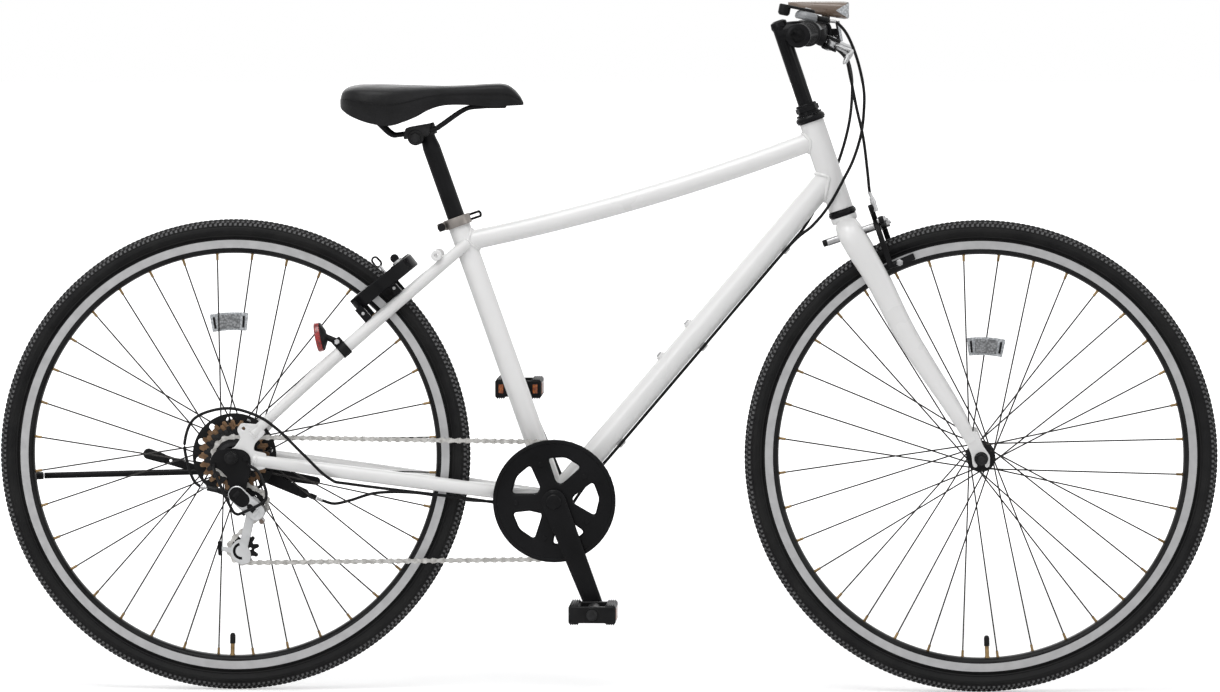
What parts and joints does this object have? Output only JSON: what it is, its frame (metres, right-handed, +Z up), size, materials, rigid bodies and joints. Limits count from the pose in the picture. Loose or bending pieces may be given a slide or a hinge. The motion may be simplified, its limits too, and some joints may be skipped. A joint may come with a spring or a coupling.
{
  "type": "city bicycle",
  "caption": "City bicycle with a white welded frame, derailleur gears, flat bar, caliper and drum brakes, frame lock, headlight and folded side stand.",
  "frame": {"origin": "on the ground, midway between the two axles, in the wheels' plane", "axes": "+X forwards, +Y to the left (the chain is on the -Y side), +Z up"},
  "size_m": [1.7698, 0.589, 1.002],
  "materials": {
    "white_paint": "gloss",
    "black_paint": "satin",
    "black_plastic": "matte",
    "grey_plastic": "satin",
    "taupe_plastic": "gloss",
    "rubber": "matte",
    "tyre": "matte",
    "black_vinyl": "satin",
    "steel": "satin",
    "bright_metal": "polished",
    "grey_alloy": "satin",
    "rim_alloy": "machined",
    "brown_steel": "bronzed",
    "red_reflector": "gloss"
  },
  "bodies": {
    "bicycle": {"frame": "white_paint", "headset_lower_cup": "black_paint", "headset_upper_cup": "black_paint", "bottom_bracket": "steel", "rear_axle": "steel", "drum_brake": "black_paint", "derailleur_bracket": "black_paint", "derailleur_guard": "black_paint", "kickstand_bracket": "black_paint", "seat_clamp": "grey_alloy", "ring_lock": "black_plastic", "rear_reflector": "red_reflector", "chain": "steel", "shift_cable": "black_plastic", "rear_brake_cable": "black_plastic", "front_brake_cable": "black_plastic"},
    "steering": {"fork": "white_paint", "headset_locknut": "black_paint", "stem": "black_paint", "handlebar": "black_paint", "right_grip": "rubber", "left_grip": "rubber", "right_brake_bracket": "black_plastic", "left_brake_bracket": "black_plastic", "shifter": "grey_plastic", "headlight": "taupe_plastic", "front_axle": "steel"},
    "front_wheel": {"front_tyre": "tyre", "front_rim": "rim_alloy", "front_hub": "steel"},
    "rear_wheel": {"rear_tyre": "tyre", "rear_rim": "rim_alloy", "rear_hub": "steel", "spoke_protector": "black_plastic"},
    "freewheel_block": {"freewheel": "brown_steel"},
    "cranks": {"right_crank": "black_paint", "left_crank": "black_paint", "chainring": "black_paint", "chain_guard": "black_plastic"},
    "pedal_right": {"right_pedal": "rubber"},
    "pedal_left": {"left_pedal": "rubber"},
    "lever_right": {"right_brake_lever": "bright_metal"},
    "lever_left": {"left_brake_lever": "bright_metal"},
    "thumb_lever": {"shift_lever": "black_plastic"},
    "caliper_right": {"caliper_right_arm": "black_paint"},
    "caliper_left": {"caliper_left_arm": "black_paint"},
    "hub_brake_arm": {"brake_arm": "black_paint"},
    "stand": {"kickstand": "black_paint"},
    "saddle": {"seatpost": "black_paint", "saddle_clamp": "black_paint", "saddle_rails": "black_paint", "saddle_base": "black_plastic", "saddle_cover": "black_vinyl"},
    "clamp_lever": {"seat_clamp_lever": "black_paint"},
    "link": {"derailleur_link": "bright_metal"},
    "knuckle": {"derailleur_knuckle": "steel"},
    "cage": {"derailleur_cage": "bright_metal"},
    "pulley_upper": {"guide_pulley": "black_plastic"},
    "pulley_lower": {"tension_pulley": "black_plastic"},
    "bolt": {"lock_bolt": "steel"}
  },
  "joints": [
    {"name": "steering_turn", "type": "hinge", "parent": "bicycle", "child": "steering", "pos_m": [0.33901, 0, 0.70086], "axis": [-0.3206, 0, 0.9472], "range_deg": [-75, 75], "deforming": ["front_brake_cable"]},
    {"name": "front_wheel_spin", "type": "hinge", "parent": "steering", "child": "front_wheel", "pos_m": [0.54185, 0, 0.343], "axis": [0, 1, 0], "continuous": true},
    {"name": "rear_wheel_spin", "type": "hinge", "parent": "bicycle", "child": "rear_wheel", "pos_m": [-0.54185, 0, 0.343], "axis": [0, 1, 0], "continuous": true},
    {"name": "crank_spin", "type": "hinge", "parent": "bicycle", "child": "cranks", "pos_m": [-0.07485, 0, 0.28], "axis": [0, 1, 0], "continuous": true, "deforming": ["chain"]},
    {"name": "freewheel_spin", "type": "hinge", "parent": "bicycle", "child": "freewheel_block", "pos_m": [-0.54185, 0, 0.343], "axis": [0, 1, 0], "continuous": true},
    {"name": "right_pedal_spin", "type": "hinge", "parent": "cranks", "child": "pedal_right", "pos_m": [-0.01518, -0.135, 0.12617], "axis": [0, 1, 0], "continuous": true},
    {"name": "left_pedal_spin", "type": "hinge", "parent": "cranks", "child": "pedal_left", "pos_m": [-0.13452, 0.135, 0.43383], "axis": [0, 1, 0], "continuous": true},
    {"name": "right_lever_squeeze", "type": "hinge", "parent": "steering", "child": "lever_right", "pos_m": [0.3264, -0.165, 0.94265], "axis": [0.4191, 0, 0.908], "range_deg": [-22, 0], "stiffness_Nm_per_rad": 1, "springref_deg": 5.73},
    {"name": "left_lever_squeeze", "type": "hinge", "parent": "steering", "child": "lever_left", "pos_m": [0.3264, 0.165, 0.94265], "axis": [0.4191, 0, 0.908], "range_deg": [0, 22], "stiffness_Nm_per_rad": 1, "springref_deg": -5.73, "deforming": ["rear_brake_cable"]},
    {"name": "thumb_lever_turn", "type": "hinge", "parent": "steering", "child": "thumb_lever", "pos_m": [0.29149, -0.142, 0.98808], "axis": [0.2, 0, 0.9798], "range_deg": [-60, 0], "deforming": ["shift_cable"]},
    {"name": "caliper_right_turn", "type": "hinge", "parent": "steering", "child": "caliper_right", "pos_m": [0.38751, 0, 0.6761], "axis": [0.9472, 0, 0.3206], "range_deg": [0, 1.6]},
    {"name": "caliper_left_turn", "type": "hinge", "parent": "steering", "child": "caliper_left", "pos_m": [0.39537, 0, 0.67876], "axis": [0.9472, 0, 0.3206], "range_deg": [-1.6, 0]},
    {"name": "hub_brake_arm_turn", "type": "hinge", "parent": "bicycle", "child": "hub_brake_arm", "pos_m": [-0.50985, 0.0578, 0.313], "axis": [0, 1, 0], "range_deg": [0, 5]},
    {"name": "stand_swing", "type": "hinge", "parent": "bicycle", "child": "stand", "pos_m": [-0.56185, 0.09, 0.312], "axis": [0, 0.9853, 0.1709], "range_deg": [-92, 0]},
    {"name": "seatpost_slide", "type": "slide", "parent": "bicycle", "child": "saddle", "axis": [-0.3338, 0, 0.9426], "range_m": [-0.09, 0.06]},
    {"name": "clamp_lever_swing", "type": "hinge", "parent": "bicycle", "child": "clamp_lever", "pos_m": [-0.24029, 0.0185, 0.6744], "axis": [-0.3338, 0, 0.9426], "range_deg": [0, 150]},
    {"name": "link_swing", "type": "hinge", "parent": "bicycle", "child": "link", "pos_m": [-0.53185, -0.092, 0.291], "axis": [0.6805, 0, 0.7328], "range_deg": [0, 35]},
    {"name": "knuckle_swing", "type": "hinge", "parent": "link", "child": "knuckle", "pos_m": [-0.50385, -0.092, 0.265], "axis": [0.6805, 0, 0.7328], "range_deg": [-35, 0]},
    {"name": "cage_swing", "type": "hinge", "parent": "knuckle", "child": "cage", "pos_m": [-0.50385, -0.048, 0.265], "axis": [0, 1, 0], "range_deg": [-15, 20], "stiffness_Nm_per_rad": 0.6},
    {"name": "upper_pulley_spin", "type": "hinge", "parent": "cage", "child": "pulley_upper", "pos_m": [-0.51185, -0.048, 0.275], "axis": [0, 1, 0], "continuous": true},
    {"name": "lower_pulley_spin", "type": "hinge", "parent": "cage", "child": "pulley_lower", "pos_m": [-0.52685, -0.048, 0.209], "axis": [0, 1, 0], "continuous": true},
    {"name": "lock_bolt_turn", "type": "hinge", "parent": "bicycle", "child": "bolt", "pos_m": [-0.32645, 0, 0.592], "axis": [-0.6237, 0, 0.7816], "range_deg": [0, 64]}
  ],
  "couplings": [
    {"joint": "freewheel_spin", "follows": "crank_spin", "ratio": 3},
    {"joint": "upper_pulley_spin", "follows": "crank_spin", "ratio": -4.2},
    {"joint": "lower_pulley_spin", "follows": "crank_spin", "ratio": 4.2},
    {"joint": "caliper_right_turn", "follows": "right_lever_squeeze", "ratio": -0.0727},
    {"joint": "caliper_left_turn", "follows": "right_lever_squeeze", "ratio": 0.0727},
    {"joint": "hub_brake_arm_turn", "follows": "left_lever_squeeze", "ratio": 0.2272},
    {"joint": "link_swing", "follows": "thumb_lever_turn", "ratio": -0.5833},
    {"joint": "knuckle_swing", "follows": "thumb_lever_turn", "ratio": 0.5833}
  ]
}
